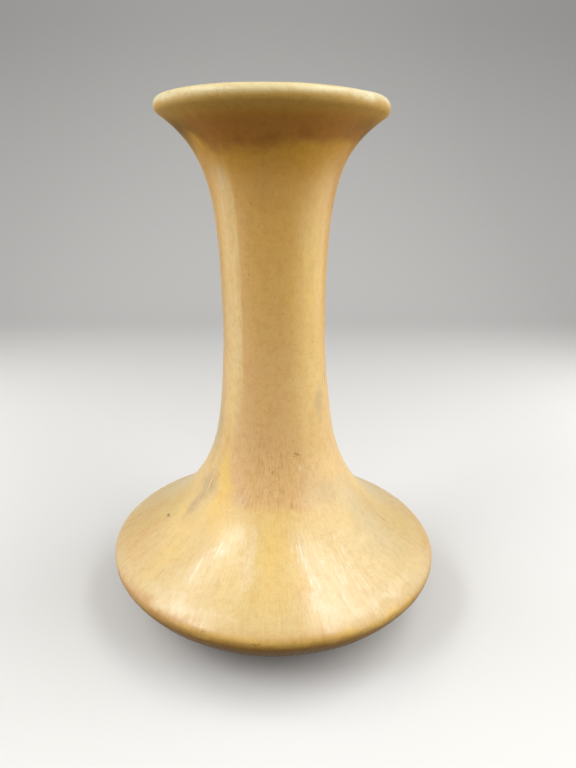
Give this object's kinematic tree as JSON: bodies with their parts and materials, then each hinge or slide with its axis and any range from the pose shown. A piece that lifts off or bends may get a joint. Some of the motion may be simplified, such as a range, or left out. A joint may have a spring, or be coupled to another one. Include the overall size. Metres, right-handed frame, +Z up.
{
  "type": "pottery vase",
  "caption": "Ochre glazed pottery vase with a low saucer-shaped body, a slim neck and a flared mouth, built up from luted clay sections.",
  "frame": {"origin": "on the vase's axis, at the surface that the foot ring stands on", "axes": "+Z up along the axis towards the mouth; the vase is the same all round, so +X and +Y are level and free"},
  "size_m": [0.1566, 0.1566, 0.23],
  "materials": {
    "clay": "bare fired stoneware, matt",
    "slip": "fired slip, matt",
    "outer_glaze": "satin ochre glaze",
    "inner_glaze": "satin ochre glaze, slightly darker"
  },
  "bodies": {
    "root": {"foot_ring": "clay", "lower_bowl": "clay", "belly_seam_slip": "slip", "shoulder": "clay", "neck_seam_slip": "slip", "neck_and_mouth": "clay", "outer_glaze": "outer_glaze", "inner_glaze": "inner_glaze"}
  },
  "joints": []
}
